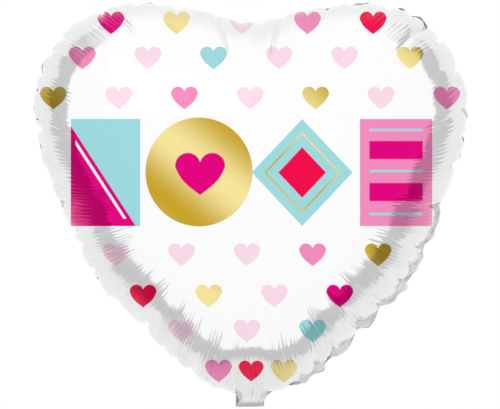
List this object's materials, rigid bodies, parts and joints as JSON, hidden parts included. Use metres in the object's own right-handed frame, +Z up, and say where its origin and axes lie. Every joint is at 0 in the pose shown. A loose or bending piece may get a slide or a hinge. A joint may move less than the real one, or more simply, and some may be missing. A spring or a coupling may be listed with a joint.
{
  "type": "heart shaped foil balloon",
  "caption": "Inflated heart-shaped foil balloon with a welded rim, a printed pattern, a film valve inside and an inflation tail that folds at the neck.",
  "frame": {"origin": "middle of the crease at the bottom of the neck, where the tail folds and a ribbon is tied", "axes": "+X along the balloon's width, +Y out of its rear face, so the printed front looks along -Y, and +Z up from the neck to the notch"},
  "size_m": [0.381, 0.2182, 0.3563],
  "materials": {
    "front_foil": "glossy, printed metallised film",
    "rear_foil": "glossy, printed metallised film",
    "valve_film": "clear film"
  },
  "bodies": {
    "balloon": {"front_panel": "front_foil", "rear_panel": "rear_foil", "valve_film_front": "valve_film", "valve_film_rear": "valve_film"},
    "tail": {"tail_front": "front_foil", "tail_rear": "rear_foil", "valve_inlet_front": "valve_film", "valve_inlet_rear": "valve_film"}
  },
  "joints": [
    {"name": "tail_fold", "type": "hinge", "parent": "balloon", "child": "tail", "pos_m": [0, 0, 0], "axis": [-1, 0, 0], "range_deg": [-12, 236]}
  ]
}
